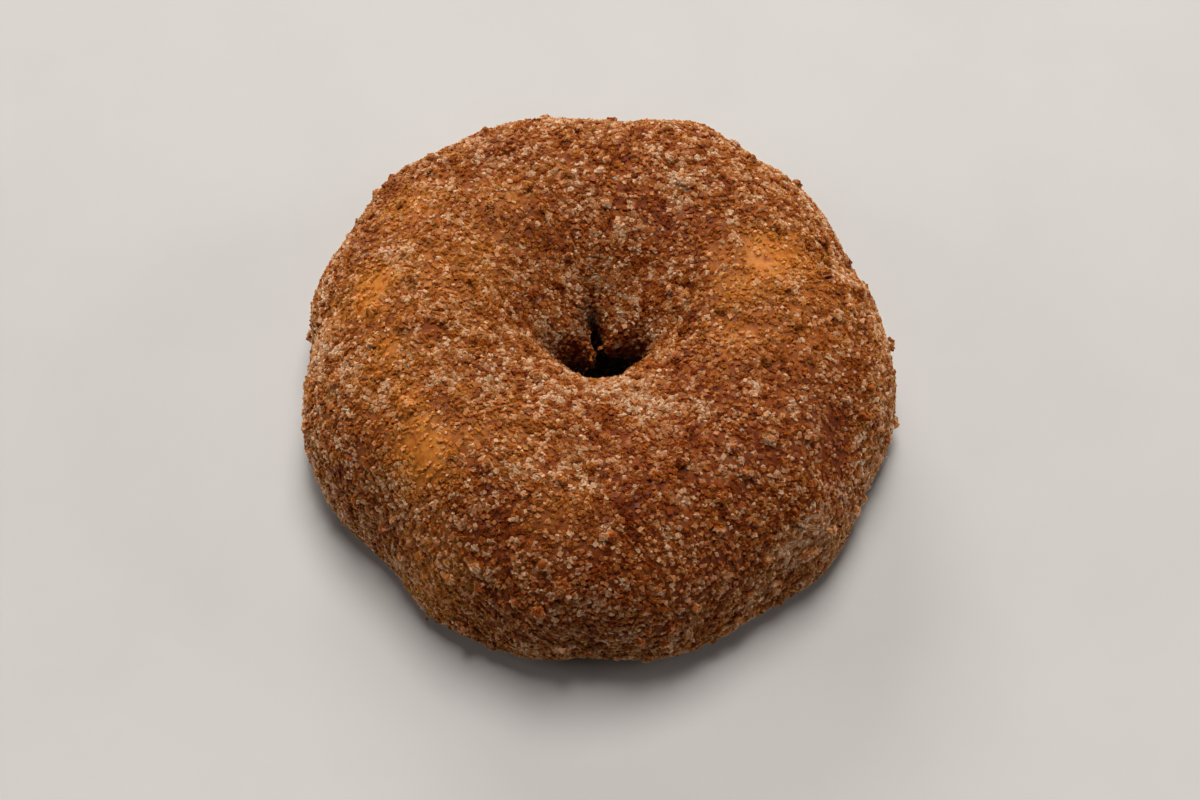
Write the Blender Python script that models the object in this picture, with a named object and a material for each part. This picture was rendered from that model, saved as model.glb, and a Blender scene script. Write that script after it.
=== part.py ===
"""Cinnamon sugar doughnut, as one solid that stands on the flat of its underside.

A ring of fried dough shaped by hand: its hole has almost closed, with two folds of dough leaning
into it, and its rim has bumps, a nick and a flattened stretch. Coarse crystals and small clumps of
cinnamon sugar stick to the crust.

Metres, with +Z up and the origin on the ground below the middle of the ring. A turn is an angle
round the ring, in degrees, from +X towards +Y. A roll is an angle round the section of the dough,
in degrees: 0 at the outer wall, 90 on the crest, 180 at the wall of the hole and 270 underneath.
"""

import math
import random

import bmesh
import bpy
import numpy as np
from mathutils import Vector, noise

MM = 0.001

# Driving dimensions of the ring
OUTLINE_RADIUS = 44.6 * MM
CREST_RADIUS = 25.0 * MM
CREST_HEIGHT = 30.5 * MM
WAIST_HEIGHT = 7.0 * MM
PRESSED_DEPTH = 1.6 * MM
OUTER_SQUARENESS = 2.2
FOOT_SQUARENESS = 3.0

# The hole: its middle, its plain radius, the height of its throat, and how square the dough turns in
HOLE_MIDDLE = (-0.8 * MM, -0.7 * MM)
HOLE_RADIUS = 6.2 * MM
THROAT_HEIGHT = 13.5 * MM
INNER_SQUARENESS = 2.3
LOWER_SQUARENESS = 3.2

# Bumps round the ring: turn and half width in degrees, then how far the surface moves
OUTLINE_BUMPS = (
    (9, 9, -0.8 * MM),
    (28, 6, -1.4 * MM),
    (47, 5, 0.5 * MM),
    (69, 6, 1.6 * MM),
    (91, 8, -1.1 * MM),
    (114, 10, 2.0 * MM),
    (137, 8, 3.2 * MM),
    (160, 9, 2.9 * MM),
    (193, 11, 2.1 * MM),
    (220, 8, -1.9 * MM),
    (237, 5, 0.2 * MM),
    (257, 6, 0.7 * MM),
    (266, 4, -0.5 * MM),
    (303, 10, -2.2 * MM),
    (335, 8, -1.6 * MM),
    (358, 5, 0.5 * MM),
)
CREST_BUMPS = (
    (150, 50, 0.8 * MM),
    (20, 30, -0.6 * MM),
)
WAIST_BUMPS = (
    (228, 20, -3.0 * MM),
    (269, 12, 5.5 * MM),
    (312, 22, -3.2 * MM),
)
HOLE_BUMPS = (
    (270, 34, -0.5 * MM),
    (322, 16, -1.1 * MM),
    (10, 14, 1.5 * MM),
    (172, 15, 2.2 * MM),
    (218, 16, -0.6 * MM),
)
SQUARENESS_BUMPS = (
    (270, 45, 1.1),
)

# Folds of dough that lean into the hole, and the slit between them: turn and half width in degrees,
# height and half height, then how far the wall of the hole moves away from its middle
HOLE_FOLDS = (
    (56, 22, 19.2 * MM, 3.8 * MM, -4.9 * MM),
    (143, 24, 17.7 * MM, 4.6 * MM, -5.3 * MM),
    (101, 8, 17.2 * MM, 7.0 * MM, 2.4 * MM),
    (95, 45, 5.0 * MM, 4.0 * MM, -1.8 * MM),
)

# Dents: turn and roll where each starts and ends, half width, depth
DENTS = (
    ((22, 15), (20, 55), 2.4 * MM, 0.9 * MM),
    ((20, 55), (14, 85), 3.2 * MM, 0.4 * MM),
    ((173, 5), (172, 40), 2.2 * MM, 0.6 * MM),
    ((342, 62), (329, 43), 3.0 * MM, 0.6 * MM),
    ((28, 123), (29, 124), 1.3 * MM, 0.9 * MM),
    ((61, 127), (55, 125), 1.7 * MM, 0.6 * MM),
    ((334, 113), (330, 112), 1.8 * MM, 0.6 * MM),
    ((222, 103), (226, 104), 1.8 * MM, 0.5 * MM),
    ((96, 148), (91, 134), 1.2 * MM, 0.5 * MM),
)

# Slow unevenness of the crust: size of its swells and how high they rise
SWELLS = (
    (13.0 * MM, 0.45 * MM),
    (5.5 * MM, 0.22 * MM),
)

# Below this height swells and dents fade out, so that the underside stays flat
LEVEL_UP_TO = 5.0 * MM

# Mesh of the ring
RING_STEPS = 76
FREE_STEPS = 36
FLAT_STEPS = 3
SECTION_SAMPLES = 720

# Coarse sugar on the crust: single crystals, spread evenly, and clumps of a few crystals. The sizes
# are the smallest, the largest and the usual one.
SUGAR_SEED = 12
CRYSTAL_COUNT = 148
CRYSTAL_SIZES = (1.0 * MM, 2.0 * MM, 1.3 * MM)
CRYSTAL_SPACING = 3.4 * MM
CRYSTAL_LOWEST = 4.0 * MM
CRYSTAL_SIDES = (0.6, 1.0)
CRYSTAL_SKEW = 0.12
CRYSTAL_CORNERS_CUT = 1
CRYSTAL_CORNER_SIZE = 0.22
CRYSTAL_PROUD = 0.15
HOLE_CLEAR_RADIUS = 9.5 * MM
CLUMP_SPOTS = ((64, 87), (315, 17), (24, 122), (208, 73), (128, 60), (262, 40))
CLUMP_PIECES = 3
CLUMP_SPREAD = 1.0 * MM

CRUST_COLOUR = (0.21, 0.065, 0.018, 1.0)
CRUST_ROUGHNESS = 0.75
CREASE_ANGLE = 40.0


def clear_scene():
    """Removes every object that the scene starts with."""
    for item in list(bpy.data.objects):
        bpy.data.objects.remove(item, do_unlink=True)


def bumps(turn, spots):
    """The sum of smooth bumps round the ring, at each turn."""
    total = np.zeros_like(turn)
    for at, half_width, height in spots:
        away = (turn - at + 180) % 360 - 180
        total += height * np.exp(-0.5 * (away / half_width) ** 2)
    return total


def signed_power(value, power):
    """The power of a value's size, with the value's own sign."""
    return np.sign(value) * np.abs(value) ** power


def hole_radius(turn, height):
    """How far the wall of the hole is from the middle of the hole, with its folds."""
    radius = HOLE_RADIUS + bumps(turn, HOLE_BUMPS)
    for at, half_width, level, half_height, amount in HOLE_FOLDS:
        fade = np.exp(-0.5 * ((height - level) / half_height) ** 2)
        radius = radius + fade * bumps(turn, ((at, half_width, amount),))
    return radius


def waist_height(turn):
    """How high the dough is widest, at each turn."""
    return WAIST_HEIGHT + bumps(turn, WAIST_BUMPS)


def section(turn, roll):
    """Distance from the middle, height, and share of the way from hole to rim, of the plain dough."""
    across = np.cos(np.radians(roll))
    upward = np.sin(np.radians(roll))
    outer = np.where(upward > 0, OUTER_SQUARENESS, FOOT_SQUARENESS)
    inner = np.where(upward > 0, INNER_SQUARENESS + bumps(turn, SQUARENESS_BUMPS), LOWER_SQUARENESS)
    power = 2 / np.where(across > 0, outer, inner)
    middle = np.where(across > 0, waist_height(turn), THROAT_HEIGHT)
    crest = CREST_HEIGHT + bumps(turn, CREST_BUMPS)
    rise = np.where(upward > 0, crest - middle, middle + PRESSED_DEPTH)
    height = np.maximum(middle + rise * signed_power(upward, power), 0)
    outline = OUTLINE_RADIUS + bumps(turn, OUTLINE_BUMPS)
    hole = hole_radius(turn, height)
    reach = np.where(across > 0, outline - CREST_RADIUS, CREST_RADIUS - hole)
    distance = CREST_RADIUS + reach * signed_power(across, power)
    share = (distance - hole) / (outline - hole)
    return distance, height, share


def contact_roll(middle, squareness):
    """How far below its middle, as a roll, a section of this squareness meets the ground."""
    return math.degrees(math.asin((middle / (middle + PRESSED_DEPTH)) ** (squareness / 2)))


def even_rolls(turn, start, end, steps):
    """Rolls that divide the section from start to end, at one turn, into steps of equal length."""
    rolls = np.linspace(start, end, SECTION_SAMPLES + 1)
    distance, height, _ = section(np.full_like(rolls, turn), rolls)
    lengths = np.hypot(np.diff(distance), np.diff(height))
    travelled = np.concatenate(([0], np.cumsum(lengths)))
    wanted = np.linspace(0, travelled[-1], steps, endpoint=False)
    return np.interp(wanted, travelled, rolls)


def section_rolls(turn, free_steps, flat_steps):
    """Rolls round the whole section, with one exactly at each edge of the flat underside."""
    outer_edge = -contact_roll(float(waist_height(np.array(turn))), FOOT_SQUARENESS)
    inner_edge = 180 + contact_roll(THROAT_HEIGHT, LOWER_SQUARENESS)
    free = even_rolls(turn, outer_edge, inner_edge, free_steps)
    flat = even_rolls(turn, inner_edge, 360 + outer_edge, flat_steps)
    return np.concatenate((free, flat))


def plain_points(turn, roll):
    """Points of the dough before its dents. Its middle shifts from the hole's to the outline's."""
    distance, height, share = section(turn, roll)
    angle = np.radians(turn)
    x = distance * np.cos(angle) + (1 - share) * HOLE_MIDDLE[0]
    y = distance * np.sin(angle) + (1 - share) * HOLE_MIDDLE[1]
    return np.stack((x, y, height), axis=-1)


def spot_on_dough(turn, roll):
    """One point of the plain dough."""
    return plain_points(np.array(float(turn)), np.array(float(roll)))


def outward(points):
    """Unit normals of a grid of points that closes on itself both ways."""
    along = np.roll(points, -1, axis=0) - np.roll(points, 1, axis=0)
    around = np.roll(points, -1, axis=1) - np.roll(points, 1, axis=1)
    normals = np.cross(along, around)
    return normals / np.linalg.norm(normals, axis=-1, keepdims=True)


def dent_depth(points, start, end, half_width, depth):
    """How far one dent presses each point in, round the line from its start to its end."""
    first = spot_on_dough(*start)
    line = spot_on_dough(*end) - first
    share = ((points - first) @ line) / max(line @ line, MM * MM * MM)
    away = points - first - np.clip(share, 0, 1)[..., None] * line
    return depth * np.exp(-0.5 * (away ** 2).sum(-1) / half_width ** 2)


def swell_height(points):
    """The slow unevenness of the crust at each point."""
    heights = np.zeros(points.shape[:-1])
    for spot in np.ndindex(heights.shape):
        place = Vector(points[spot])
        heights[spot] = sum(rise * noise.noise(place / size) for size, rise in SWELLS)
    return heights


def dough_points(ring_steps, free_steps, flat_steps):
    """A grid of points on the dented dough, centred over the origin, with its normals."""
    turns = np.linspace(0, 360, ring_steps, endpoint=False)
    rolls = np.stack([section_rolls(turn, free_steps, flat_steps) for turn in turns])
    points = plain_points(np.repeat(turns[:, None], rolls.shape[1], axis=1), rolls)
    normals = outward(points)
    moved = swell_height(points)
    for start, end, half_width, depth in DENTS:
        moved -= dent_depth(points, start, end, half_width, depth)
    moved *= np.clip(points[..., 2] / LEVEL_UP_TO, 0, 1)
    points = points + moved[..., None] * normals
    corners = points.reshape(-1, 3)
    points[..., :2] -= (corners.min(0)[:2] + corners.max(0)[:2]) / 2
    return points, outward(points)


def grid_mesh(name, points):
    """A closed mesh of triangles over a grid that closes on itself both ways."""
    rows, columns = points.shape[:2]
    mesh = bpy.data.meshes.new(name)
    build = bmesh.new()
    verts = [build.verts.new(point) for point in points.reshape(-1, 3)]
    for row in range(rows):
        for column in range(columns):
            next_row = (row + 1) % rows
            next_column = (column + 1) % columns
            build.faces.new((
                verts[row * columns + column],
                verts[next_row * columns + column],
                verts[next_row * columns + next_column],
                verts[row * columns + next_column],
            ))
    bmesh.ops.triangulate(build, faces=build.faces[:])
    build.to_mesh(mesh)
    build.free()
    return mesh


def crust_faces(mesh):
    """Centres, normals and areas of the crust's faces, as arrays."""
    centres = np.array([face.center for face in mesh.polygons])
    normals = np.array([face.normal for face in mesh.polygons])
    areas = np.array([face.area for face in mesh.polygons])
    return centres, normals, areas


def even_spots(centres, areas, draw):
    """Faces that lie evenly spread over the crust that shows, clear of the hole."""
    from_hole = np.hypot(centres[:, 0] - HOLE_MIDDLE[0], centres[:, 1] - HOLE_MIDDLE[1])
    allowed = (centres[:, 2] > CRYSTAL_LOWEST) & (from_hole > HOLE_CLEAR_RADIUS)
    reach = np.cumsum(areas * allowed)
    chosen = []
    while len(chosen) < CRYSTAL_COUNT:
        index = int(np.searchsorted(reach, draw.random() * reach[-1]))
        away = np.linalg.norm(centres[chosen] - centres[index], axis=-1)
        if (away > CRYSTAL_SPACING).all():
            chosen.append(index)
    return chosen


def crystal(place, size, draw):
    """One sugar crystal: a small skewed box with a few of its corners cut, turned any way."""
    build = bmesh.new()
    bmesh.ops.create_cube(build, size=1)
    sides = [size * draw.uniform(*CRYSTAL_SIDES) for _ in range(3)]
    for vert in build.verts:
        skew = [draw.uniform(-CRYSTAL_SKEW, CRYSTAL_SKEW) for _ in range(3)]
        vert.co = [(vert.co[axis] + skew[axis]) * sides[axis] for axis in range(3)]
    corners = draw.sample(build.verts[:], CRYSTAL_CORNERS_CUT)
    bmesh.ops.bevel(build, geom=corners, offset=size * CRYSTAL_CORNER_SIZE, affect="VERTICES")
    bmesh.ops.triangulate(build, faces=build.faces[:])
    mesh = bpy.data.meshes.new("crystal")
    build.to_mesh(mesh)
    build.free()
    item = bpy.data.objects.new("crystal", mesh)
    item.rotation_euler = [draw.uniform(0, 2 * math.pi) for _ in range(3)]
    item.location = place
    return item


def coarse_sugar(mesh):
    """A collection of crystals and clumps, each sunk into the crust up to about its middle."""
    draw = random.Random(SUGAR_SEED)
    centres, normals, areas = crust_faces(mesh)
    collection = bpy.data.collections.new("coarse_sugar")
    bpy.context.scene.collection.children.link(collection)
    for index in even_spots(centres, areas, draw):
        low, high, usual = CRYSTAL_SIZES
        size = draw.triangular(low, high, usual)
        place = centres[index] + normals[index] * size * CRYSTAL_PROUD
        collection.objects.link(crystal(place, size, draw))
    for turn, roll in CLUMP_SPOTS:
        index = np.argmin(np.linalg.norm(centres - spot_on_dough(turn, roll), axis=-1))
        for _ in range(CLUMP_PIECES):
            shift = np.array([draw.uniform(-1, 1) for _ in range(3)]) * CLUMP_SPREAD
            along = shift - (shift @ normals[index]) * normals[index]
            collection.objects.link(crystal(centres[index] + along, CRYSTAL_SIZES[1], draw))
    return collection


def fuse(body, collection):
    """Joins the collection's pieces to the body as one solid, and removes them."""
    union = body.modifiers.new("sugar", "BOOLEAN")
    union.operation = "UNION"
    union.operand_type = "COLLECTION"
    union.collection = collection
    graph = bpy.context.evaluated_depsgraph_get()
    joined = bpy.data.meshes.new_from_object(body.evaluated_get(graph))
    body.modifiers.clear()
    body.data = joined
    for item in list(collection.objects):
        bpy.data.objects.remove(item, do_unlink=True)
    bpy.data.collections.remove(collection)


def crust_material():
    """Browned crust under cinnamon sugar."""
    material = bpy.data.materials.new("sugared_crust")
    material.use_nodes = True
    shader = material.node_tree.nodes["Principled BSDF"]
    shader.inputs["Base Color"].default_value = CRUST_COLOUR
    shader.inputs["Roughness"].default_value = CRUST_ROUGHNESS
    shader.inputs["Metallic"].default_value = 0.0
    material.diffuse_color = CRUST_COLOUR
    return material


def make_doughnut():
    """The whole doughnut."""
    points, _ = dough_points(RING_STEPS, FREE_STEPS, FLAT_STEPS)
    body = bpy.data.objects.new("doughnut", grid_mesh("doughnut", points))
    bpy.context.scene.collection.objects.link(body)
    fuse(body, coarse_sugar(body.data))
    body.data.shade_smooth()
    body.data.set_sharp_from_angle(angle=math.radians(CREASE_ANGLE))
    body.data.materials.clear()
    body.data.materials.append(crust_material())
    return body


clear_scene()
make_doughnut()
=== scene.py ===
"""Looks of the cinnamon sugar doughnut: its crust, its coat of cinnamon sugar, floor, light, camera.

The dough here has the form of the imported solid, from the same named sizes, on a finer mesh. The sugar
is laid on it grain by grain, as joined meshes, one for each kind of grain. Metres, with +Z up. A turn
is an angle round the ring, in degrees, from +X towards +Y. A roll is an angle round the section of the
dough: 0 at the outer wall, 90 on the crest, 180 at the wall of the hole and 270 underneath.
"""

import math
import random

import bmesh
import bpy
import numpy as np
from mathutils import Euler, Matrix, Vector, noise


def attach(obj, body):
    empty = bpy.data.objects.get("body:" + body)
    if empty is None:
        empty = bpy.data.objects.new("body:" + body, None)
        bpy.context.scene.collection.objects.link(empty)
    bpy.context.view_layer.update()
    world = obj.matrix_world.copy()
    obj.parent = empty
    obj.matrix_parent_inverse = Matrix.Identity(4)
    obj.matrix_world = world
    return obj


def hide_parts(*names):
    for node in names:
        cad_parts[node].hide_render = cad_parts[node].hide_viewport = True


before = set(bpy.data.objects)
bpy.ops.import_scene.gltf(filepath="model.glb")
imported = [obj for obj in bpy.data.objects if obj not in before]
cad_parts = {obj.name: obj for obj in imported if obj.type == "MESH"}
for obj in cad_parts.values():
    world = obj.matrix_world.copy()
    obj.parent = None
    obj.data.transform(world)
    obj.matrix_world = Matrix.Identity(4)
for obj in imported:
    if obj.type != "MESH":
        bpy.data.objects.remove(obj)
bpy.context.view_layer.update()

MM = 0.001

# Driving dimensions of the ring, as in the solid
OUTLINE_RADIUS = 44.6 * MM
CREST_RADIUS = 25.0 * MM
CREST_HEIGHT = 30.5 * MM
WAIST_HEIGHT = 7.0 * MM
PRESSED_DEPTH = 1.6 * MM
OUTER_SQUARENESS = 2.2
FOOT_SQUARENESS = 3.0

# The hole: its middle, its plain radius, the height of its throat, and how square the dough turns in
HOLE_MIDDLE = (-0.8 * MM, -0.7 * MM)
HOLE_RADIUS = 6.2 * MM
THROAT_HEIGHT = 13.5 * MM
INNER_SQUARENESS = 2.3
LOWER_SQUARENESS = 3.2

# Bumps round the ring: turn and half width in degrees, then how far the surface moves
OUTLINE_BUMPS = (
    (9, 9, -0.8 * MM),
    (28, 6, -1.4 * MM),
    (47, 5, 0.5 * MM),
    (69, 6, 1.6 * MM),
    (91, 8, -1.1 * MM),
    (114, 10, 2.0 * MM),
    (137, 8, 3.2 * MM),
    (160, 9, 2.9 * MM),
    (193, 11, 2.1 * MM),
    (220, 8, -1.9 * MM),
    (237, 5, 0.2 * MM),
    (257, 6, 0.7 * MM),
    (266, 4, -0.5 * MM),
    (303, 10, -2.2 * MM),
    (335, 8, -1.6 * MM),
    (358, 5, 0.5 * MM),
)
CREST_BUMPS = (
    (150, 50, 0.8 * MM),
    (20, 30, -0.6 * MM),
)
WAIST_BUMPS = (
    (228, 20, -3.0 * MM),
    (269, 12, 5.5 * MM),
    (312, 22, -3.2 * MM),
)
HOLE_BUMPS = (
    (270, 34, -0.5 * MM),
    (322, 16, -1.1 * MM),
    (10, 14, 1.5 * MM),
    (172, 15, 2.2 * MM),
    (218, 16, -0.6 * MM),
)
SQUARENESS_BUMPS = (
    (270, 45, 1.1),
)

# Folds of dough that lean into the hole, and the slit between them: turn and half width in degrees,
# height and half height, then how far the wall of the hole moves away from its middle
HOLE_FOLDS = (
    (56, 22, 19.2 * MM, 3.8 * MM, -4.9 * MM),
    (143, 24, 17.7 * MM, 4.6 * MM, -5.3 * MM),
    (101, 8, 17.2 * MM, 7.0 * MM, 2.4 * MM),
    (95, 45, 5.0 * MM, 4.0 * MM, -1.8 * MM),
)

# Dents: turn and roll where each starts and ends, half width, depth
DENTS = (
    ((22, 15), (20, 55), 2.4 * MM, 0.9 * MM),
    ((20, 55), (14, 85), 3.2 * MM, 0.4 * MM),
    ((173, 5), (172, 40), 2.2 * MM, 0.6 * MM),
    ((342, 62), (329, 43), 3.0 * MM, 0.6 * MM),
    ((28, 123), (29, 124), 1.3 * MM, 0.9 * MM),
    ((61, 127), (55, 125), 1.7 * MM, 0.6 * MM),
    ((334, 113), (330, 112), 1.8 * MM, 0.6 * MM),
    ((222, 103), (226, 104), 1.8 * MM, 0.5 * MM),
    ((96, 148), (91, 134), 1.2 * MM, 0.5 * MM),
)

# Unevenness of the crust: size of its swells and how high they rise. The slow ones are in the solid too.
# Near the ground the unevenness fades out.
SWELLS = (
    (13.0 * MM, 0.45 * MM),
    (5.5 * MM, 0.22 * MM),
)
CRUST_GRAIN = (
    (2.4 * MM, 0.16 * MM),
    (1.1 * MM, 0.12 * MM),
)
LEVEL_UP_TO = 5.0 * MM

# Mesh of the ring: steps round it, over the free crust and under the flat, and samples of a section
RING_STEPS = 340
FREE_STEPS = 150
FLAT_STEPS = 8
SECTION_SAMPLES = 720

# Patches of golden crust with little sugar: turn, roll, radius, strength
GOLDEN_PATCHES = (
    (144, 65, 4.8 * MM, 0.65),
    (124, 90, 3.6 * MM, 0.4),
    (171, 65, 6.0 * MM, 0.85),
    (190, 74, 4.4 * MM, 0.65),
    (218, 67, 6.4 * MM, 1.0),
    (22, 84, 5.0 * MM, 1.0),
    (16, 94, 4.4 * MM, 0.7),
    (27, 96, 3.6 * MM, 0.4),
    (18, 72, 3.6 * MM, 0.5),
    (353, 97, 4.6 * MM, 0.5),
    (260, 75, 4.4 * MM, 0.3),
    (240, 91, 5.0 * MM, 0.3),
    (160, 80, 3.4 * MM, 0.4),
    (236, 21, 7.0 * MM, 0.5),
    (156, 94, 11.0 * MM, 0.35),
    (196, 74, 10.0 * MM, 0.3),
    (12, 80, 10.0 * MM, 0.3),
)

# Patches of deep red-brown crust: turn, roll, radius, strength
DEEP_PATCHES = (
    (334, 51, 6.4 * MM, 0.9),
    (312, 70, 5.4 * MM, 0.7),
    (326, 107, 2.6 * MM, 0.9),
    (58, 100, 4.8 * MM, 0.5),
    (112, 121, 4.8 * MM, 0.35),
    (60, 128, 3.0 * MM, 0.5),
    (154, 133, 3.4 * MM, 0.4),
    (296, 38, 5.4 * MM, 0.8),
    (328, 32, 5.6 * MM, 0.8),
    (207, 45, 4.2 * MM, 0.6),
    (242, 54, 4.6 * MM, 0.5),
    (248, 14, 8.0 * MM, 0.8),
    (222, 14, 6.0 * MM, 0.5),
    (157, 54, 3.6 * MM, 0.8),
    (140, 48, 7.0 * MM, 0.5),
    (118, 62, 7.0 * MM, 0.5),
    (304, 84, 9.0 * MM, 0.3),
    (334, 96, 6.0 * MM, 0.3),
    (268, 32, 9.0 * MM, 0.7),
    (285, 15, 8.0 * MM, 0.4),
    (317, 20, 6.0 * MM, 0.6),
)

# Drifts of thicker, paler sugar: turn, roll, radius, how much more of it
SUGAR_DRIFTS = (
    (153, 99, 3.2 * MM, 1.2),
    (168, 90, 7.0 * MM, 0.8),
    (205, 92, 6.0 * MM, 0.6),
    (63, 87, 2.0 * MM, 3.0),
    (17, 86, 4.0 * MM, 0.5),
    (30, 148, 2.4 * MM, 1.6),
    (281, 126, 3.6 * MM, 1.5),
    (300, 111, 3.2 * MM, 1.3),
    (200, 70, 3.4 * MM, 1.0),
    (183, 112, 6.0 * MM, 0.8),
    (54, 68, 3.2 * MM, 0.9),
    (74, 115, 2.4 * MM, 1.3),
    (20, 123, 2.6 * MM, 1.5),
    (17, 47, 2.6 * MM, 1.2),
    (317, 25, 4.6 * MM, 2.6),
    (269, 28, 4.6 * MM, 0.9),
    (298, 87, 2.6 * MM, 0.7),
    (178, 38, 3.6 * MM, 0.8),
    (352, 41, 4.0 * MM, 0.8),
    (218, 47, 3.6 * MM, 1.0),
    (190, 58, 5.0 * MM, 0.7),
    (244, 81, 2.8 * MM, 0.8),
    (105, 138, 6.0 * MM, 1.2),
    (45, 145, 4.6 * MM, 1.3),
)

# Unevenness of the patches' edges: size and strength of its swells
PATCH_EDGE_SWELLS = (
    (5.0 * MM, 0.7),
)

# Painted shade in the hole: how far round its middle, and between which heights the painted shade sets in
PAINTED_HOLE_SHADE_RADIUS = 10.0 * MM
PAINTED_HOLE_SHADE_BETWEEN = (10.0 * MM, 19.5 * MM)

# Painted shade in the creases beside the folds of the hole: turn, roll, radius, strength
PAINTED_CREASE_SHADE = (
    (173, 157, 2.2 * MM, 0.7),
    (181, 164, 2.6 * MM, 0.8),
    (112, 156, 2.0 * MM, 0.8),
    (128, 159, 1.6 * MM, 0.7),
    (98, 168, 2.4 * MM, 1.0),
    (90, 178, 2.2 * MM, 1.0),
    (28, 168, 1.4 * MM, 0.5),
    (164, 174, 2.4 * MM, 0.6),
    (72, 187, 2.8 * MM, 0.9),
    (56, 184, 2.4 * MM, 0.8),
)

# No fine sugar is laid lower than this
GROUND_CLEARANCE = 0.5 * MM


def bumps(turn, spots):
    """The sum of smooth bumps round the ring, at each turn."""
    total = np.zeros_like(turn)
    for at, half_width, height in spots:
        away = (turn - at + 180) % 360 - 180
        total += height * np.exp(-0.5 * (away / half_width) ** 2)
    return total


def signed_power(value, power):
    """The power of a value's size, with the value's own sign."""
    return np.sign(value) * np.abs(value) ** power


def hole_radius(turn, height):
    """How far the wall of the hole is from the middle of the hole, with its folds."""
    radius = HOLE_RADIUS + bumps(turn, HOLE_BUMPS)
    for at, half_width, level, half_height, amount in HOLE_FOLDS:
        fade = np.exp(-0.5 * ((height - level) / half_height) ** 2)
        radius = radius + fade * bumps(turn, ((at, half_width, amount),))
    return radius


def waist_height(turn):
    """How high the dough is widest, at each turn."""
    return WAIST_HEIGHT + bumps(turn, WAIST_BUMPS)


def section(turn, roll):
    """Distance from the middle, height, and share of the way from hole to rim, of the plain dough."""
    across = np.cos(np.radians(roll))
    upward = np.sin(np.radians(roll))
    outer = np.where(upward > 0, OUTER_SQUARENESS, FOOT_SQUARENESS)
    inner = np.where(upward > 0, INNER_SQUARENESS + bumps(turn, SQUARENESS_BUMPS), LOWER_SQUARENESS)
    power = 2 / np.where(across > 0, outer, inner)
    middle = np.where(across > 0, waist_height(turn), THROAT_HEIGHT)
    crest = CREST_HEIGHT + bumps(turn, CREST_BUMPS)
    rise = np.where(upward > 0, crest - middle, middle + PRESSED_DEPTH)
    height = np.maximum(middle + rise * signed_power(upward, power), 0)
    outline = OUTLINE_RADIUS + bumps(turn, OUTLINE_BUMPS)
    hole = hole_radius(turn, height)
    reach = np.where(across > 0, outline - CREST_RADIUS, CREST_RADIUS - hole)
    distance = CREST_RADIUS + reach * signed_power(across, power)
    share = (distance - hole) / (outline - hole)
    return distance, height, share


def contact_roll(middle, squareness):
    """How far below its middle, as a roll, a section of this squareness meets the ground."""
    return math.degrees(math.asin((middle / (middle + PRESSED_DEPTH)) ** (squareness / 2)))


def even_rolls(turn, start, end, steps):
    """Rolls that divide the section from start to end, at one turn, into steps of equal length."""
    rolls = np.linspace(start, end, SECTION_SAMPLES + 1)
    distance, height, _ = section(np.full_like(rolls, turn), rolls)
    lengths = np.hypot(np.diff(distance), np.diff(height))
    travelled = np.concatenate(([0], np.cumsum(lengths)))
    wanted = np.linspace(0, travelled[-1], steps, endpoint=False)
    return np.interp(wanted, travelled, rolls)


def section_rolls(turn, free_steps, flat_steps):
    """Rolls round the whole section, with one exactly at each edge of the flat underside."""
    outer_edge = -contact_roll(float(waist_height(np.array(turn))), FOOT_SQUARENESS)
    inner_edge = 180 + contact_roll(THROAT_HEIGHT, LOWER_SQUARENESS)
    free = even_rolls(turn, outer_edge, inner_edge, free_steps)
    flat = even_rolls(turn, inner_edge, 360 + outer_edge, flat_steps)
    return np.concatenate((free, flat))


def plain_points(turn, roll):
    """Points of the dough before its dents. Its middle shifts from the hole's to the outline's."""
    distance, height, share = section(turn, roll)
    angle = np.radians(turn)
    x = distance * np.cos(angle) + (1 - share) * HOLE_MIDDLE[0]
    y = distance * np.sin(angle) + (1 - share) * HOLE_MIDDLE[1]
    return np.stack((x, y, height), axis=-1)


def spot_on_dough(turn, roll):
    """One point of the plain dough."""
    return plain_points(np.array(float(turn)), np.array(float(roll)))


def outward(points):
    """Unit normals of a grid of points that closes on itself both ways."""
    along = np.roll(points, -1, axis=0) - np.roll(points, 1, axis=0)
    around = np.roll(points, -1, axis=1) - np.roll(points, 1, axis=1)
    normals = np.cross(along, around)
    return normals / np.linalg.norm(normals, axis=-1, keepdims=True)


def dent_depth(points, start, end, half_width, depth):
    """How far one dent presses each point in, round the line from its start to its end."""
    first = spot_on_dough(*start)
    line = spot_on_dough(*end) - first
    share = ((points - first) @ line) / (line @ line)
    away = points - first - np.clip(share, 0, 1)[..., None] * line
    return depth * np.exp(-0.5 * (away ** 2).sum(-1) / half_width ** 2)


def unevenness(points, swells):
    """Smooth random rise and fall at each point, from swells of the given sizes and heights."""
    heights = np.zeros(points.shape[:-1])
    for spot in np.ndindex(heights.shape):
        place = Vector(points[spot])
        heights[spot] = sum(rise * noise.noise(place / size) for size, rise in swells)
    return heights


def dough_points(ring_steps, free_steps, flat_steps):
    """A grid of points on the dented dough, centred over the origin, with its normals."""
    turns = np.linspace(0, 360, ring_steps, endpoint=False)
    rolls = np.stack([section_rolls(turn, free_steps, flat_steps) for turn in turns])
    points = plain_points(np.repeat(turns[:, None], rolls.shape[1], axis=1), rolls)
    normals = outward(points)
    moved = unevenness(points, SWELLS)
    for start, end, half_width, depth in DENTS:
        moved -= dent_depth(points, start, end, half_width, depth)
    moved *= np.clip(points[..., 2] / LEVEL_UP_TO, 0, 1)
    points = points + moved[..., None] * normals
    corners = points.reshape(-1, 3)
    points[..., :2] -= (corners.min(0)[:2] + corners.max(0)[:2]) / 2
    return points, outward(points)


def grained(points, normals):
    """The dough's points with the fine grain of its crust, and their normals."""
    level = np.clip(points[..., 2] / LEVEL_UP_TO, 0, 1)
    points = points + (unevenness(points, CRUST_GRAIN) * level)[..., None] * normals
    return points, outward(points)


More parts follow.
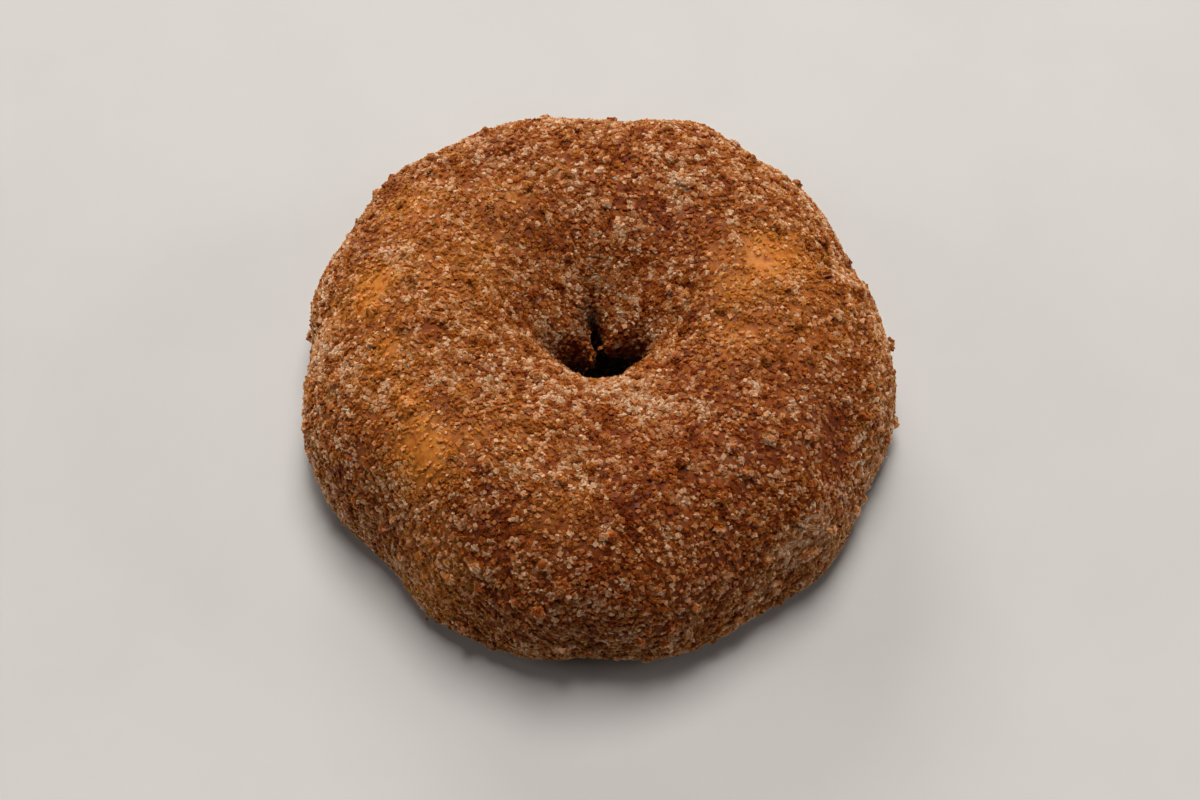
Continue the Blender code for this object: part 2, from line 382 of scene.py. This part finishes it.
def patch_strength(points, patches):
    """How strongly the nearest of some patches with uneven edges shows at each point."""
    wobble = 1 + unevenness(points, PATCH_EDGE_SWELLS)
    strength = np.zeros(points.shape[:-1])
    for turn, roll, radius, amount in patches:
        away = np.linalg.norm(points - spot_on_dough(turn, roll), axis=-1) * wobble
        strength = np.maximum(strength, amount * np.exp(-(away / radius) ** 2))
    return strength


def painted_hole_shade(points):
    """How strongly painted shade darkens the hole at each point, by how deep in it the point lies: 0
    outside it, 1 deep in it.
    """
    low, high = PAINTED_HOLE_SHADE_BETWEEN
    from_hole = np.hypot(points[..., 0] - HOLE_MIDDLE[0], points[..., 1] - HOLE_MIDDLE[1])
    depth = np.clip((high - points[..., 2]) / (high - low), 0, 1)
    return np.where(from_hole < PAINTED_HOLE_SHADE_RADIUS, depth, 0)


def tints(points):
    """The tints of the crust at each point, which the grains on it share. The dark one is painted shade,
    in the hole and in the creases beside its folds.
    """
    return {
        "golden": patch_strength(points, GOLDEN_PATCHES),
        "deep": patch_strength(points, DEEP_PATCHES),
        # The dark tint is painted shade: in the hole, and in the creases beside its folds.
        "dark": np.maximum(painted_hole_shade(points), patch_strength(points, PAINTED_CREASE_SHADE)),
    }


def mesh_object(name, corners, faces, values):
    """An object with a mesh of these corners and faces, and a named value at each corner."""
    mesh = bpy.data.meshes.new(name)
    mesh.from_pydata(corners.tolist(), [], faces.tolist())
    for label, amounts in values.items():
        layer = mesh.attributes.new(label, "FLOAT", "POINT")
        layer.data.foreach_set("value", np.ascontiguousarray(amounts, dtype=np.float32))
    item = bpy.data.objects.new(name, mesh)
    bpy.context.scene.collection.objects.link(item)
    return item


def grid_faces(rows, columns):
    """Faces of a grid that closes on itself both ways."""
    index = np.arange(rows * columns).reshape(rows, columns)
    ahead = np.roll(index, -1, axis=0)
    beside = np.roll(index, -1, axis=1)
    across = np.roll(ahead, -1, axis=1)
    return np.stack((index, ahead, across, beside), axis=-1).reshape(-1, 4)


def make_dough(points):
    """The dough with its crust, which stands for the solid."""
    corners = points.reshape(-1, 3)
    values = tints(corners)
    values["tone"] = grain_tone(corners, CRUST_TONE)
    item = mesh_object("dough", corners, grid_faces(*points.shape[:2]), values)
    item.data.shade_smooth()
    item.data.materials.append(crust_material())
    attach(item, "root")
    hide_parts("doughnut")


# Coarse sugar, as on the solid, whose mesh is coarser: single crystals, spread evenly over it, with their
# smallest, largest and usual size, and clumps, with the turn and roll of each
SOLID_STEPS = (76, 36, 3)
SUGAR_SEED = 12
CRYSTAL_COUNT = 148
CRYSTAL_SIZES = (1.0 * MM, 2.0 * MM, 1.3 * MM)
CRYSTAL_SPACING = 3.4 * MM
CRYSTAL_LOWEST = 4.0 * MM
CRYSTAL_SIDES = (0.6, 1.0)
CRYSTAL_SKEW = 0.12
CRYSTAL_CORNERS_CUT = 1
CRYSTAL_CORNER_SIZE = 0.22
CRYSTAL_PROUD = 0.15
HOLE_CLEAR_RADIUS = 9.5 * MM
CLUMP_SPOTS = ((64, 87), (315, 17), (24, 122), (208, 73), (128, 60), (262, 40))
CLUMP_PIECES = 3
CLUMP_SPREAD = 1.0 * MM

# Kinds of grain: shape, seed of the draw, number, smallest and largest size in millimetres, how proud
# they stand, how much they keep to clusters, how few lie on golden crust, and how pale they are
GRAIN_KINDS = {
    "pale_sugar": {
        "shape": "box", "seed": 11, "count": 16600, "sizes": (0.50, 0.95), "proud": 0.12,
        "clustered": 0.15, "bare": 0.92, "tone": 0.56,
    },
    "amber_sugar": {
        "shape": "box", "seed": 12, "count": 16600, "sizes": (0.50, 0.90), "proud": 0.08,
        "clustered": 0.2, "bare": 0.88, "tone": 0.43,
    },
    "cinnamon_sugar": {
        "shape": "box", "seed": 13, "count": 16600, "sizes": (0.46, 0.84), "proud": 0.03,
        "clustered": 0.3, "bare": 0.95, "tone": 0.32,
    },
    # Pale sugar whose extra paleness also stands for glints: partly real pale grains, partly painted
    # glints.
    "sugar_with_painted_glints": {
        "shape": "box", "seed": 15, "count": 7500, "sizes": (0.40, 0.72), "proud": 0.25,
        "clustered": 0.1, "bare": 0.75, "tone": 0.84,
    },
    "cinnamon_dust": {
        "shape": "diamond", "seed": 14, "count": 24000, "sizes": (0.18, 0.40), "proud": 0.15,
        "clustered": 0.3, "bare": 0.95, "tone": 0.25,
    },
}

# Colours of the grains, by how pale they are
GRAIN_COLOURS = (
    (0.00, (0.115, 0.0135, 0.0006)),
    (0.25, (0.225, 0.0390, 0.0020)),
    (0.50, (0.325, 0.0840, 0.0100)),
    (0.75, (0.440, 0.1760, 0.0540)),
    (1.00, (0.600, 0.3450, 0.1950)),
)

# How pale the coarse sugar and the film on the crust are, how much paler the drifts are, and how much
# the single grains of a kind differ
COARSE_SUGAR_TONE = 0.62
CRUST_TONE = 0.3
DRIFT_TONE = 0.17
TONE_SPREAD = 0.06

# How the grains lie: the share that others gather round, how near, and the share on coarse crystals
CLUSTER_LEADERS = 0.16
CLUSTER_RADIUS = 0.8 * MM
SHARE_ON_CRYSTALS = 0.05

# How bare of sugar the deep brown crust is, and the share of the usual sugar that lies deep in the hole
DEEP_BARENESS = 0.7
SHARE_DEEP_IN_HOLE = 0.25

# Shape of the grains: how their sizes are drawn, the least and most of their three sides, skew and tilt
SIZE_DRAW = (1.6, 2.6)
GRAIN_SIDES = ((0.6, 0.6, 0.48), (0.95, 0.95, 0.8))
GRAIN_SKEW = 0.13
GRAIN_TILT = 0.5

# Unevenness of the sugar's tone and thickness: size and strength of its swells
TONE_SWELLS = (
    (0.9 * MM, 0.75),
    (1.8 * MM, 0.42),
    (4.0 * MM, 0.25),
    (9.0 * MM, 0.20),
)
DENSITY_SWELLS = (
    (4.0 * MM, 0.5),
)

# Shapes of grain: corners of one of size one, and the faces between them
GRAIN_SHAPES = {
    "box": (
        np.array([(x, y, z) for x in (-0.5, 0.5) for y in (-0.5, 0.5) for z in (-0.5, 0.5)]),
        np.array([(0, 1, 3, 2), (4, 6, 7, 5), (0, 4, 5, 1),
                  (2, 3, 7, 6), (0, 2, 6, 4), (1, 5, 7, 3)]),
    ),
    "diamond": (
        0.6 * np.array([(1, 0, 0), (-1, 0, 0), (0, 1, 0), (0, -1, 0), (0, 0, 1), (0, 0, -1)]),
        np.array([(0, 2, 4), (2, 1, 4), (1, 3, 4), (3, 0, 4),
                  (2, 0, 5), (1, 2, 5), (3, 1, 5), (0, 3, 5)]),
    ),
}


def grid_mesh(name, points):
    """A closed mesh of triangles over a grid that closes on itself both ways."""
    rows, columns = points.shape[:2]
    mesh = bpy.data.meshes.new(name)
    build = bmesh.new()
    verts = [build.verts.new(point) for point in points.reshape(-1, 3)]
    for row in range(rows):
        for column in range(columns):
            next_row = (row + 1) % rows
            next_column = (column + 1) % columns
            build.faces.new((
                verts[row * columns + column],
                verts[next_row * columns + column],
                verts[next_row * columns + next_column],
                verts[row * columns + next_column],
            ))
    bmesh.ops.triangulate(build, faces=build.faces[:])
    build.to_mesh(mesh)
    build.free()
    return mesh


def crust_faces(mesh):
    """Centres, normals and areas of the crust's faces, as arrays."""
    centres = np.array([face.center for face in mesh.polygons])
    normals = np.array([face.normal for face in mesh.polygons])
    areas = np.array([face.area for face in mesh.polygons])
    return centres, normals, areas


def even_spots(centres, areas, draw):
    """Faces that lie evenly spread over the crust that shows, clear of the hole."""
    from_hole = np.hypot(centres[:, 0] - HOLE_MIDDLE[0], centres[:, 1] - HOLE_MIDDLE[1])
    allowed = (centres[:, 2] > CRYSTAL_LOWEST) & (from_hole > HOLE_CLEAR_RADIUS)
    reach = np.cumsum(areas * allowed)
    chosen = []
    while len(chosen) < CRYSTAL_COUNT:
        index = int(np.searchsorted(reach, draw.random() * reach[-1]))
        away = np.linalg.norm(centres[chosen] - centres[index], axis=-1)
        if (away > CRYSTAL_SPACING).all():
            chosen.append(index)
    return chosen


def crystal(place, size, draw):
    """Corners and faces of one coarse crystal: a small skewed box with a corner cut, turned any way."""
    build = bmesh.new()
    bmesh.ops.create_cube(build, size=1)
    sides = [size * draw.uniform(*CRYSTAL_SIDES) for _ in range(3)]
    for vert in build.verts:
        skew = [draw.uniform(-CRYSTAL_SKEW, CRYSTAL_SKEW) for _ in range(3)]
        vert.co = [(vert.co[axis] + skew[axis]) * sides[axis] for axis in range(3)]
    corners = draw.sample(build.verts[:], CRYSTAL_CORNERS_CUT)
    bmesh.ops.bevel(build, geom=corners, offset=size * CRYSTAL_CORNER_SIZE, affect="VERTICES")
    bmesh.ops.triangulate(build, faces=build.faces[:])
    build.verts.index_update()
    rotation = Euler([draw.uniform(0, 2 * math.pi) for _ in range(3)]).to_matrix()
    corners = [rotation @ vert.co + Vector(place) for vert in build.verts]
    faces = [[vert.index for vert in face.verts] for face in build.faces]
    build.free()
    return corners, faces


def solid_faces():
    """Centres, normals and areas of the faces of the solid's coarser mesh."""
    points, _ = dough_points(*SOLID_STEPS)
    mesh = grid_mesh("coarse", points)
    faces = crust_faces(mesh)
    bpy.data.meshes.remove(mesh)
    return faces


def coarse_crystals():
    """The solid's coarse crystals and clumps: the shape of each, and where they lie."""
    draw = random.Random(SUGAR_SEED)
    centres, normals, areas = solid_faces()
    spots = []
    shapes = []
    for index in even_spots(centres, areas, draw):
        low, high, usual = CRYSTAL_SIZES
        size = draw.triangular(low, high, usual)
        place = centres[index] + normals[index] * size * CRYSTAL_PROUD
        spots.append((place, normals[index], size))
        shapes.append(crystal(place, size, draw))
    for turn, roll in CLUMP_SPOTS:
        index = np.argmin(np.linalg.norm(centres - spot_on_dough(turn, roll), axis=-1))
        for _ in range(CLUMP_PIECES):
            shift = np.array([draw.uniform(-1, 1) for _ in range(3)]) * CLUMP_SPREAD
            place = centres[index] + shift - (shift @ normals[index]) * normals[index]
            spots.append((place, normals[index], CRYSTAL_SIZES[1]))
            shapes.append(crystal(place, CRYSTAL_SIZES[1], draw))
    return shapes, [np.array(part) for part in zip(*spots)]


def joined(shapes):
    """Corners and faces of several shapes, as one mesh."""
    corners = []
    faces = []
    for some_corners, some_faces in shapes:
        faces += [[number + len(corners) for number in face] for face in some_faces]
        corners += some_corners
    return np.array(corners), np.array(faces)


def make_coarse_sugar():
    """The coarse sugar of the solid, as one mesh. Gives back where its crystals lie."""
    shapes, spots = coarse_crystals()
    corners, faces = joined(shapes)
    values = tints(corners)
    values["tone"] = grain_tone(corners, COARSE_SUGAR_TONE)
    item = mesh_object("coarse_sugar", corners, faces, values)
    item.data.materials.append(grain_material("coarse_sugar"))
    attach(item, "root")
    return spots


def spread_spots(points, normals, weights, count, draw):
    """Random spots on the dough, denser where the weight is higher: their places and directions."""
    ahead = np.roll(points, -1, axis=0)
    beside = np.roll(points, -1, axis=1)
    areas = np.linalg.norm(np.cross(ahead - points, beside - points), axis=-1)
    reach = np.cumsum((areas * weights).ravel())
    chosen = np.searchsorted(reach, draw.random(count) * reach[-1])
    rows, columns = np.unravel_index(chosen, areas.shape)
    along = draw.random(count)[:, None]
    around = draw.random(count)[:, None]
    spots = []
    for grid in (points, normals):
        near = grid[rows, columns]
        far = np.roll(grid, -1, axis=0)[rows, columns]
        side = np.roll(grid, -1, axis=1)[rows, columns]
        spots.append(near + (far - near) * along + (side - near) * around)
    return spots[0], unit(spots[1])


def unit(directions):
    """The same directions, of length one."""
    return directions / np.linalg.norm(directions, axis=-1, keepdims=True)


def clustered(places, normals, share, draw):
    """Moves a share of the grains next to a few of the others, so that they lie in clusters."""
    count = len(places)
    leaders = draw.integers(0, int(count * CLUSTER_LEADERS), count)
    moving = draw.random(count) < share
    shift = draw.normal(0, CLUSTER_RADIUS, (count, 3))
    shift -= (shift * normals[leaders]).sum(-1, keepdims=True) * normals[leaders]
    places = np.where(moving[:, None], places[leaders] + shift, places)
    normals = np.where(moving[:, None], normals[leaders], normals)
    return places, normals


def onto_crystals(places, normals, crystals, draw):
    """Moves a few of the grains onto the coarse crystals, which so become clumps of sugar."""
    count = len(places)
    centres, directions, sizes = crystals
    chosen = draw.integers(0, len(centres), count)
    moving = (draw.random(count) < SHARE_ON_CRYSTALS)[:, None]
    away = unit(unit(draw.normal(size=(count, 3))) + directions[chosen])
    on_crystal = centres[chosen] + away * sizes[chosen][:, None] / 2
    return np.where(moving, on_crystal, places), np.where(moving, away, normals)


def laid(directions, draw):
    """Rotations that lay each grain on the crust, spun at random and tilted a little, as matrices."""
    upward = unit(directions + draw.normal(0, GRAIN_TILT, directions.shape))
    along = unit(np.cross(upward, draw.normal(size=directions.shape)))
    return np.stack((along, np.cross(upward, along), upward), axis=-1)


def sugar_thickness(points):
    """How thickly the sugar lies at each point, but for what each kind of grain keeps off."""
    thickness = (1 + patch_strength(points, SUGAR_DRIFTS)) * (1 + unevenness(points, DENSITY_SWELLS))
    # Less sugar lies deep in the hole, by the same depth that sets its painted shade.
    thickness *= 1 - (1 - SHARE_DEEP_IN_HOLE) * painted_hole_shade(points)
    return np.clip(thickness, 0, None) * (points[..., 2] > GROUND_CLEARANCE)


def bareness(points):
    """How bare of sugar the crust is at each point: most so in its golden patches."""
    golden = patch_strength(points, GOLDEN_PATCHES)
    deep = patch_strength(points, DEEP_PATCHES)
    return np.maximum(golden, DEEP_BARENESS * deep)


def grain_tone(places, usual):
    """How pale each grain is, from 0 to 1: near grains are alike, and drifts are paler."""
    drifts = DRIFT_TONE * patch_strength(places, SUGAR_DRIFTS)
    return np.clip(usual + drifts + unevenness(places, TONE_SWELLS), 0, 1)


def grain_corners(kind, places, directions, draw):
    """Corners of the grains of one kind: small skewed shapes laid on the crust, above the ground."""
    count = len(places)
    smallest, largest = kind["sizes"]
    sizes = (smallest + (largest - smallest) * draw.beta(*SIZE_DRAW, count)) * MM
    sides = sizes[:, None] * draw.uniform(*GRAIN_SIDES, (count, 3))
    shape, _ = GRAIN_SHAPES[kind["shape"]]
    shapes = shape + draw.uniform(-GRAIN_SKEW, GRAIN_SKEW, (count, len(shape), 3))
    corners = np.einsum("nij,nkj->nki", laid(directions, draw), shapes * sides[:, None, :])
    corners += (places + directions * (sizes * kind["proud"])[:, None])[:, None, :]
    corners[..., 2] = np.maximum(corners[..., 2], 0)
    return corners


def make_grains(name, kind, points, normals, thickness, crystals):
    """All the grains of one kind, as one mesh."""
    draw = np.random.default_rng(kind["seed"])
    weights = thickness * (1 - kind["bare"] * bareness(points))
    places, directions = spread_spots(points, normals, weights, kind["count"], draw)
    places, directions = clustered(places, directions, kind["clustered"], draw)
    places, directions = onto_crystals(places, directions, crystals, draw)
    corners = grain_corners(kind, places, directions, draw)
    values = tints(places)
    values["tone"] = grain_tone(places, draw.normal(kind["tone"], TONE_SPREAD, len(places)))
    each = corners.shape[1]
    values = {label: np.repeat(amounts, each) for label, amounts in values.items()}
    _, shape_faces = GRAIN_SHAPES[kind["shape"]]
    faces = shape_faces + each * np.arange(len(places))[:, None, None]
    item = mesh_object(name, corners.reshape(-1, 3), faces.reshape(-1, faces.shape[-1]), values)
    item.data.materials.append(grain_material(name))
    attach(item, "root")


# Noise in the materials: its detail, and its usual roughness
NOISE_DETAIL = 3.5
NOISE_ROUGHNESS = 0.6


class Shader:
    """A material with a Principled shader, and short ways to add the nodes that feed it."""

    def __init__(self, name, settings):
        self.material = bpy.data.materials.new(name)
        self.material.use_nodes = True
        self.nodes = self.material.node_tree.nodes
        self.links = self.material.node_tree.links
        self.surface = self.nodes["Principled BSDF"]
        for label, value in settings.items():
            self.surface.inputs[label].default_value = value
        self.place = self.nodes.new("ShaderNodeTexCoord").outputs["Object"]

    def feed(self, label, output):
        """Feeds one of the surface's inputs."""
        self.links.new(output, self.surface.inputs[label])

    def noise(self, size, roughness=NOISE_ROUGHNESS):
        """Noise whose features have this size, in metres."""
        node = self.nodes.new("ShaderNodeTexNoise")
        node.inputs["Scale"].default_value = 1 / size
        node.inputs["Detail"].default_value = NOISE_DETAIL
        node.inputs["Roughness"].default_value = roughness
        self.links.new(self.place, node.inputs["Vector"])
        return node.outputs["Fac"]

    def value(self, label):
        """A value that the mesh carries."""
        node = self.nodes.new("ShaderNodeAttribute")
        node.attribute_name = label
        return node.outputs["Fac"]

    def share(self, label, most):
        """A value that the mesh carries, scaled so that its highest is this."""
        return self.band(self.value(label), 0.0, 1.0, 0.0, most)

    def ramp(self, factor, stops):
        """Colours along a factor: a list of places and colours."""
        node = self.nodes.new("ShaderNodeValToRGB")
        band = node.color_ramp
        while len(band.elements) < len(stops):
            band.elements.new(1.0)
        for element, (place, colour) in zip(band.elements, stops):
            element.position = place
            element.color = (*colour, 1.0)
        self.links.new(factor, node.inputs["Fac"])
        return node.outputs["Color"]

    def mix(self, factor, first, second):
        """A mix of two colours, each an output or a plain colour, by an output or a number."""
        node = self.nodes.new("ShaderNodeMix")
        node.data_type = "RGBA"
        for label, value in (("Factor", factor), ("A", first), ("B", second)):
            socket = next(s for s in node.inputs if s.name == label and s.enabled)
            if isinstance(value, bpy.types.NodeSocket):
                self.links.new(value, socket)
            elif label == "Factor":
                socket.default_value = value
            else:
                socket.default_value = (*value, 1.0)
        return next(s for s in node.outputs if s.enabled)

    def band(self, factor, low, high, to_low, to_high):
        """Maps a factor from low..high to a new range, clamped."""
        node = self.nodes.new("ShaderNodeMapRange")
        limits = {"From Min": low, "From Max": high, "To Min": to_low, "To Max": to_high}
        for label, number in limits.items():
            node.inputs[label].default_value = number
        self.links.new(factor, node.inputs["Value"])
        return node.outputs["Result"]

    def bump(self, size, depth):
        """Fine relief in the surface's shading, of this size and depth."""
        node = self.nodes.new("ShaderNodeBump")
        node.inputs["Distance"].default_value = depth
        self.links.new(self.noise(size), node.inputs["Height"])
        self.feed("Normal", node.outputs["Normal"])


# Colours of the crust, of the dust, of the grains on the crust's patches, and of the painted shade in the
# hole and its creases
CRUST_DEEP = (0.13, 0.0195, 0.0022)
CRUST_BROWN = (0.23, 0.050, 0.0065)
CRUST_ORANGE = (0.33, 0.085, 0.0105)
CRUST_GOLDEN = (0.54, 0.172, 0.0100)
CRUST_PALE = (0.58, 0.23, 0.035)
DUST_BROWN = (0.10, 0.0185, 0.0018)
GRAIN_GOLDEN = (0.64, 0.225, 0.022)
GRAIN_DEEP = (0.19, 0.030, 0.0045)
# Painted shade of the hole and its creases
PAINTED_SHADE_COLOUR = (0.045, 0.018, 0.010)

# Mottling of the crust and of its golden patches: size, and colours along the noise
MOTTLING = (8.0 * MM, ((0.35, CRUST_DEEP), (0.50, CRUST_BROWN), (0.66, CRUST_ORANGE)))
GILDING = (1.4 * MM, ((0.30, CRUST_ORANGE), (0.48, CRUST_GOLDEN), (0.68, CRUST_PALE)))

# Dust on the crust and on the grains: size, roughness of the noise, where it sets in, and its share
CRUST_DUST = (0.9 * MM, 0.70, (0.50, 0.62, 0.0, 0.40))
GRAIN_DUST = (0.4 * MM, 0.60, (0.48, 0.64, 0.0, 0.35))

# Relief: size and depth
CRUST_RELIEF = (0.50 * MM, 0.12 * MM)
GRAIN_RELIEF = (0.12 * MM, 0.02 * MM)

# The share of sugar in the colour of the crust, and how strongly each tint, the painted shade among them,
# shows on the grains
SUGAR_ON_CRUST = 0.65
GOLDEN_ON_GRAINS = 0.7
DEEP_ON_GRAINS = 0.5
PAINTED_SHADE_ON_GRAINS = 0.8

# Surfaces of the crust and the grains. The crust is smoother where it is golden: roughness plain, golden
CRUST_ROUGHNESS = (0.78, 0.50)
CRUST_SURFACE = {
    "Specular IOR Level": 0.2,
    "Subsurface Weight": 0.8,
    "Subsurface Scale": 1.2 * MM,
    "Subsurface Radius": (1.0, 0.4, 0.15),
}
GRAIN_SURFACE = {
    "Roughness": 0.42,
    "Specular IOR Level": 0.12,
    "Subsurface Weight": 1.0,
    "Subsurface Scale": 0.5 * MM,
    "Subsurface Radius": (1.0, 0.9, 0.8),
}


def dusted(shader, colour, dust):
    """A colour with cinnamon dust in patches over it."""
    size, roughness, band = dust
    return shader.mix(shader.band(shader.noise(size, roughness), *band), colour, DUST_BROWN)


def crust_material():
    """Fried crust: red-brown with orange mottling, golden patches and a film of cinnamon dust, with
    painted shade in the hole and in the creases beside its folds.
    """
    shader = Shader("sugared_crust", CRUST_SURFACE)
    mottled, gilded = [shader.ramp(shader.noise(size), stops) for size, stops in (MOTTLING, GILDING)]
    sugary = shader.mix(SUGAR_ON_CRUST, mottled, shader.ramp(shader.value("tone"), GRAIN_COLOURS))
    colour = shader.mix(shader.value("golden"), sugary, gilded)
    colour = shader.mix(shader.value("deep"), colour, CRUST_DEEP)
    colour = dusted(shader, colour, CRUST_DUST)
    # Painted shade: the crust darkens in the hole and in the creases beside its folds.
    shader.feed("Base Color", shader.mix(shader.value("dark"), colour, PAINTED_SHADE_COLOUR))
    shader.feed("Roughness", shader.band(shader.value("golden"), 0.0, 1.0, *CRUST_ROUGHNESS))
    shader.bump(*CRUST_RELIEF)
    return shader.material


def grain_material(name):
    """Translucent sugar grains from dark to pale, each dusted with cinnamon, and darkened by painted
    shade in the hole and its creases.
    """
    shader = Shader(name, GRAIN_SURFACE)
    colour = dusted(shader, shader.ramp(shader.value("tone"), GRAIN_COLOURS), GRAIN_DUST)
    colour = shader.mix(shader.share("golden", GOLDEN_ON_GRAINS), colour, GRAIN_GOLDEN)
    colour = shader.mix(shader.share("deep", DEEP_ON_GRAINS), colour, GRAIN_DEEP)
    # Painted shade: the grains darken in the hole and in the creases beside its folds.
    shader.feed("Base Color", shader.mix(shader.share("dark", PAINTED_SHADE_ON_GRAINS), colour, PAINTED_SHADE_COLOUR))
    shader.bump(*GRAIN_RELIEF)
    return shader.material


# The floor: its width, its surface, and its faint mottling, with colours along the noise
FLOOR_SIZE = 3.0
FLOOR_SURFACE = {"Roughness": 0.85}
FLOOR_MOTTLING = (25 * MM, ((0.35, (0.482, 0.464, 0.444)), (0.65, (0.497, 0.478, 0.458))))


def make_floor():
    """A plain pale sheet under the doughnut."""
    half = FLOOR_SIZE / 2
    corners = np.array([(-half, -half, 0), (half, -half, 0), (half, half, 0), (-half, half, 0)])
    floor = mesh_object("floor", corners, np.array([(0, 1, 2, 3)]), {})
    shader = Shader("floor", FLOOR_SURFACE)
    size, stops = FLOOR_MOTTLING
    shader.feed("Base Color", shader.ramp(shader.noise(size), stops))
    floor.data.materials.append(shader.material)


# The camera looks down at the doughnut from the front. It aims a little below its middle.
CAMERA_ELEVATION = 62.0
CAMERA_DISTANCE = 0.40
FRAME_WIDTH = 0.183
AIM = (0.0, -0.0050, 0.0138)
SENSOR_WIDTH = 36.0


def make_camera():
    """The camera at the photographed viewing angle."""
    lens = bpy.data.cameras.new("camera")
    lens.sensor_width = SENSOR_WIDTH
    lens.lens = SENSOR_WIDTH * CAMERA_DISTANCE / FRAME_WIDTH
    camera = bpy.data.objects.new("camera", lens)
    elevation = math.radians(CAMERA_ELEVATION)
    back = Vector((0, -math.cos(elevation), math.sin(elevation)))
    camera.location = Vector(AIM) + back * CAMERA_DISTANCE
    camera.rotation_euler = (math.pi / 2 - elevation, 0, 0)
    bpy.context.scene.collection.objects.link(camera)
    bpy.context.scene.camera = camera


# Soft lights: elevation and azimuth in degrees, distance, how bright each makes a white sheet that faces
# it, and apparent width in degrees
LIGHTS = {
    "light_above": (86, 90, 1.0, 0.28, 12),
    "light_main": (70, 80, 1.0, 0.74, 24),
    "light_behind": (24, 105, 4.0, 0.57, 30),
    "light_left": (20, 176, 3.0, 0.25, 30),
    "light_right": (20, 4, 3.0, 0.265, 30),
}
LIGHT_COLOUR = (1.0, 0.985, 0.965)
FILL_COLOUR = (1.0, 0.97, 0.94)
FILL_STRENGTH = 0.03


def soft_light(name, elevation, azimuth, distance, brightness, width):
    """A round soft light that shines at the doughnut, as bright on a white sheet as is asked for."""
    lamp = bpy.data.lights.new(name, "AREA")
    lamp.shape = "DISK"
    lamp.size = 2 * distance * math.tan(math.radians(width / 2))
    lamp.energy = brightness * (math.pi * distance) ** 2
    lamp.color = LIGHT_COLOUR
    item = bpy.data.objects.new(name, lamp)
    level = math.cos(math.radians(elevation))
    turn = math.radians(azimuth)
    place = Vector((level * math.cos(turn), level * math.sin(turn), math.sin(math.radians(elevation))))
    item.location = place * distance
    item.rotation_euler = (-place).to_track_quat("-Z", "Y").to_euler()
    bpy.context.scene.collection.objects.link(item)


def make_light():
    """Soft lights above, behind and low at both sides, and a very dim even fill."""
    for name, facts in LIGHTS.items():
        soft_light(name, *facts)
    world = bpy.data.worlds.new("studio")
    world.use_nodes = True
    background = world.node_tree.nodes["Background"]
    background.inputs["Color"].default_value = (*FILL_COLOUR, 1.0)
    background.inputs["Strength"].default_value = FILL_STRENGTH
    bpy.context.scene.world = world
    bpy.context.scene.view_settings.view_transform = "Standard"


dough, dough_normals = grained(*dough_points(RING_STEPS, FREE_STEPS, FLAT_STEPS))
make_dough(dough)
sugar = sugar_thickness(dough)
coarse_spots = make_coarse_sugar()
for kind_name, kind_facts in GRAIN_KINDS.items():
    make_grains(kind_name, kind_facts, dough, dough_normals, sugar, coarse_spots)
make_floor()
make_light()
make_camera()
